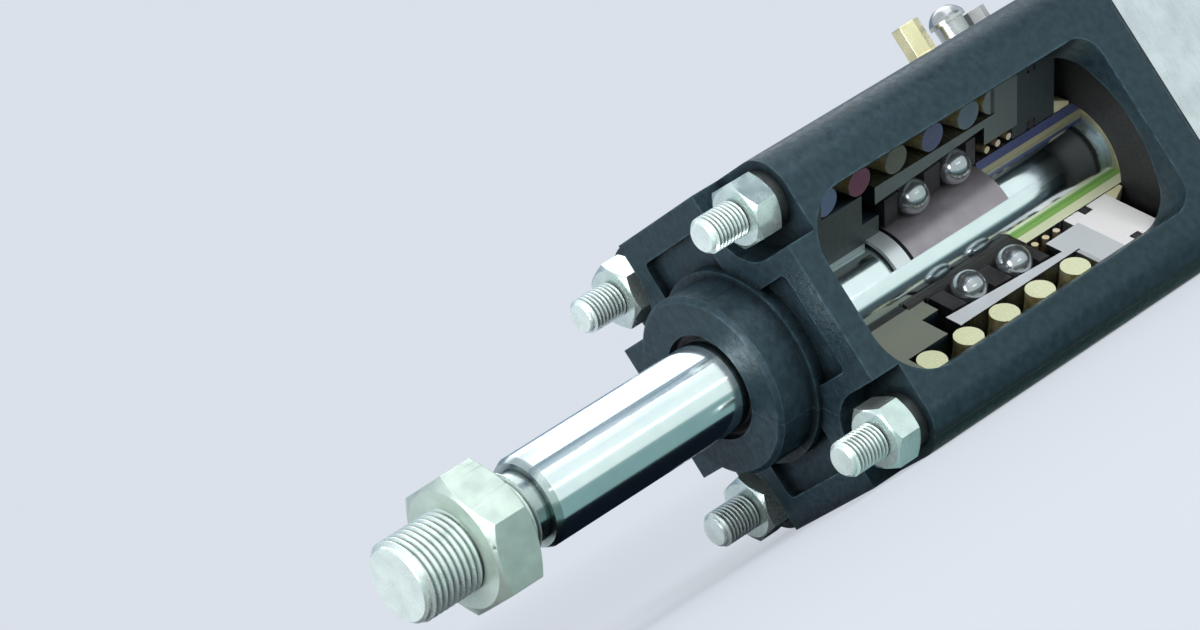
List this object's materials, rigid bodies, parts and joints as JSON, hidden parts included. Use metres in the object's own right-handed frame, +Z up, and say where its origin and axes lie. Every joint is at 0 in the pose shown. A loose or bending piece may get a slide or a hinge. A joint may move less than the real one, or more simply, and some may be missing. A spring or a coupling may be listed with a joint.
{
  "type": "locking pneumatic cylinder",
  "caption": "Cutaway pneumatic cylinder whose front cover holds a spring-driven, ball-wedge rod lock, released by air or by a hand-turned cam.",
  "frame": {"origin": "centre of the front mounting face, on the axis of the rod", "axes": "+X along the axis to the head end, so that the rod points to -X; -Y is the side that is cut away; +Z is up, where the air fittings are"},
  "size_m": [0.3966, 0.069, 0.0775],
  "materials": {
    "navy_paint": "satin baked paint on die-cast aluminium",
    "bare_aluminium": "machined, clear anodised",
    "hard_chrome": "ground and hard chrome plated",
    "zinc_plate": "bright zinc plate",
    "dark_steel": "oil-blackened spring steel",
    "nut_steel": "pale zinc plate",
    "spring_gold": "yellow zinc chromate on round wire",
    "spring_steel": "bright spring wire",
    "ball_steel": "polished bearing steel",
    "hard_steel": "ground, hardened steel",
    "shoe_iron": "bored friction iron",
    "piston_casting": "turned casting",
    "guide_steel": "ground steel tube",
    "bush_bronze": "lead-bronze lined steel strip",
    "black_resin": "moulded resin",
    "cream_urethane": "cast urethane",
    "black_rubber": "nitrile rubber",
    "gasket_sheet": "cut sheet",
    "wear_resin": "filled resin strip",
    "cushion_steel": "turned and plated",
    "brass_fitting": "turned brass",
    "sintered_bronze": "sintered bronze beads",
    "plug_grey": "zinc-nickel plated steel"
  },
  "bodies": {
    "housing": {"lock_cover": "navy_paint", "rod_wiper": "black_rubber", "front_rod_seal": "black_rubber", "rod_bushing": "bush_bronze", "brake_shoe_holder": "hard_steel", "holder_ring": "black_resin", "brake_shoe": "shoe_iron", "piston_guide": "guide_steel", "guide_bushing": "bush_bronze", "end_bumper": "black_rubber", "flange_gasket": "gasket_sheet", "intermediate_cover": "bare_aluminium", "inner_rod_seal": "black_rubber", "cylinder_tube": "bare_aluminium", "tube_gaskets": "black_rubber", "cushion_seals": "black_rubber", "head_cover": "navy_paint", "tie_rods": "zinc_plate", "front_tie_nuts": "zinc_plate", "front_spring_washers": "dark_steel", "rear_tie_nuts": "zinc_plate", "rear_spring_washers": "dark_steel", "breather_body": "brass_fitting", "breather_element": "sintered_bronze", "release_port_plug": "plug_grey", "cam_washer": "dark_steel", "cam_retaining_ring": "dark_steel", "needle_rings": "zinc_plate", "brake_spring": "spring_gold"},
    "rod": {"piston_rod": "hard_chrome", "rod_end_nut": "nut_steel", "piston": "bare_aluminium", "piston_seal": "black_rubber", "wear_ring": "wear_resin", "rod_gasket": "black_rubber", "front_cushion_ring": "cushion_steel", "rear_cushion_ring": "cushion_steel"},
    "release": {"taper_ring": "hard_steel", "release_piston": "piston_casting", "release_outer_seal": "black_rubber", "release_inner_seal": "black_rubber", "hub_bumper": "cream_urethane", "spring_seat": "black_resin"},
    "ball_cage": {"ball_retainer": "black_resin", "front_ball_row": "ball_steel", "rear_ball_row": "ball_steel", "retainer_spring": "spring_steel"},
    "cam": {"unlocking_cam": "zinc_plate", "cam_gasket": "black_rubber"},
    "front_needle": {"front_cushion_needle": "brass_fitting"},
    "rear_needle": {"rear_cushion_needle": "brass_fitting"}
  },
  "joints": [
    {"name": "rod_slide", "type": "slide", "parent": "housing", "child": "rod", "axis": [-1, 0, 0], "range_m": [-0.038, 0.062]},
    {"name": "release_slide", "type": "slide", "parent": "housing", "child": "release", "axis": [-1, 0, 0], "range_m": [0, 0.003], "deforming": ["brake_spring", "retainer_spring"]},
    {"name": "ball_cage_slide", "type": "slide", "parent": "housing", "child": "ball_cage", "axis": [-1, 0, 0], "range_m": [0, 0.0015]},
    {"name": "cam_turn", "type": "hinge", "parent": "housing", "child": "cam", "pos_m": [0.0925, 0, 0.035], "axis": [0, 0, 1], "range_deg": [0, 180]},
    {"name": "front_needle_turn", "type": "hinge", "parent": "housing", "child": "front_needle", "pos_m": [0.12, 0.015, 0.03], "axis": [0, 0, 1], "range_deg": [0, 720]},
    {"name": "rear_needle_turn", "type": "hinge", "parent": "housing", "child": "rear_needle", "pos_m": [0.271, 0.015, 0.03], "axis": [0, 0, 1], "range_deg": [0, 720]}
  ],
  "couplings": [
    {"joint": "ball_cage_slide", "follows": "release_slide", "ratio": 0.5},
    {"joint": "cam_turn", "follows": "release_slide", "rad_per_m": 1047.2}
  ]
}
